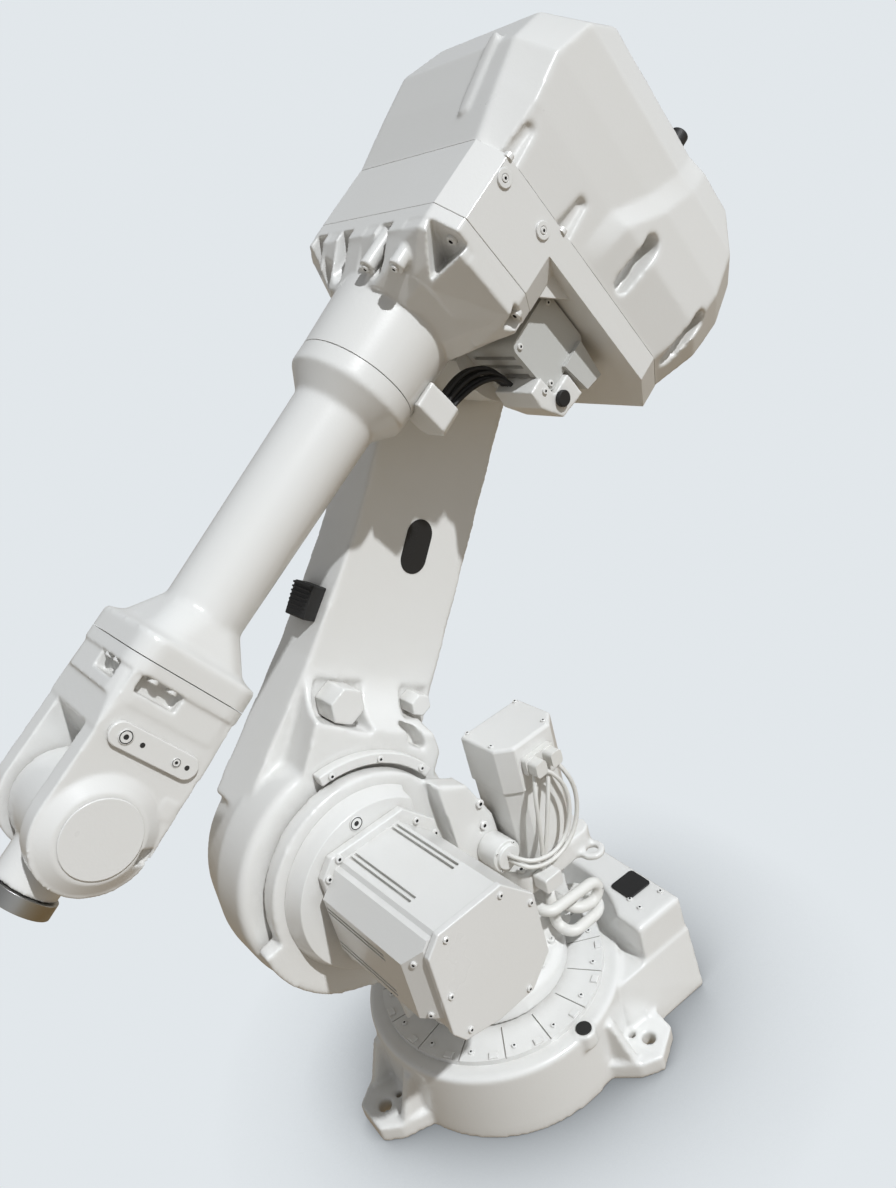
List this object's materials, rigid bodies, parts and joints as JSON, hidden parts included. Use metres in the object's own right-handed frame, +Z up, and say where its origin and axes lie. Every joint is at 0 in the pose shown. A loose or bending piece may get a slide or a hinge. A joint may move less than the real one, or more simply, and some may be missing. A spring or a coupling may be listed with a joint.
{
  "type": "industrial robot arm",
  "caption": "White six-axis industrial robot arm on a round three-footed base, leaning back with the forearm folded down and forward, ending in a tool flange.",
  "frame": {"origin": "on the first axis at the floor, centre of the base's underside", "axes": "+X the way the base's front foot points, +Y to the robot's left, +Z up"},
  "size_m": [1.457, 0.6243, 1.6901],
  "materials": {
    "white_paint": "semi-gloss warm white paint",
    "black_rubber": "matt black",
    "grey_paint": "satin grey",
    "steel": "machined",
    "white_plastic": "satin white plastic sleeve"
  },
  "bodies": {
    "base": {"base_casting": "white_paint", "ring_cover": "white_paint", "base_window": "black_rubber", "base_plug": "black_rubber", "connector_panel": "black_rubber"},
    "turret": {"turret_casting": "white_paint", "axis_2_ring": "white_paint", "axis_2_motor": "white_paint", "axis_2_motor_cover": "white_paint", "axis_1_motor": "white_paint", "axis_1_motor_cap": "white_paint", "axis_2_flange": "white_paint", "side_cover": "white_paint", "motor_plugs": "white_plastic", "shelf_socket": "white_paint", "lead_a": "white_plastic", "lead_b": "white_plastic", "conduit_a": "white_plastic", "conduit_b": "white_plastic"},
    "lower_arm": {"lower_arm_casting": "white_paint", "oval_plug": "black_rubber", "edge_bumper": "black_rubber", "stop_segment": "white_paint", "hex_block": "white_paint", "small_block": "white_paint", "arm_far_cover": "white_paint", "hub_far_cap": "white_paint", "elbow_far_cap": "white_paint"},
    "upper_arm": {"elbow_gear": "white_paint", "elbow_housing": "white_paint", "elbow_front": "white_paint", "helmet_cover": "white_paint", "axis_3_motor": "grey_paint", "lead_bracket": "white_paint", "lead_grommet": "black_rubber", "lead_entry": "white_paint", "cable_bundle": "black_rubber", "helmet_plug": "black_rubber"},
    "forearm": {"forearm_tube": "white_paint", "wrist_housing": "white_paint", "wrist_disc": "white_paint", "wrist_far_disc": "white_paint", "wrist_plate": "white_paint"},
    "tilt": {"tilt_house": "white_paint"},
    "flange": {"tool_flange": "steel"}
  },
  "joints": [
    {"name": "axis_1", "type": "hinge", "parent": "base", "child": "turret", "pos_m": [0, 0, 0.16], "axis": [0, 0, 1], "range_deg": [-184, 176]},
    {"name": "axis_2", "type": "hinge", "parent": "turret", "child": "lower_arm", "pos_m": [0.17757, 0.01242, 0.525], "axis": [-0.0698, 0.9976, 0], "range_deg": [-24, 84]},
    {"name": "axis_3", "type": "hinge", "parent": "lower_arm", "child": "upper_arm", "pos_m": [-0.36481, -0.02551, 1.27334], "axis": [0.0698, -0.9976, 0], "range_deg": [-8, 150]},
    {"name": "axis_4", "type": "hinge", "parent": "upper_arm", "child": "forearm", "pos_m": [-0.06497, -0.00454, 1.27986], "axis": [0.8413, 0.0588, -0.5373], "range_deg": [-200, 200]},
    {"name": "axis_5", "type": "hinge", "parent": "forearm", "child": "tilt", "pos_m": [0.52818, 0.03693, 0.90107], "axis": [-0.0698, 0.9976, 0], "range_deg": [-120, 120]},
    {"name": "axis_6", "type": "hinge", "parent": "tilt", "child": "flange", "pos_m": [0.64176, 0.04488, 0.82853], "axis": [0.8413, 0.0588, -0.5373], "range_deg": [-350, 350]}
  ]
}
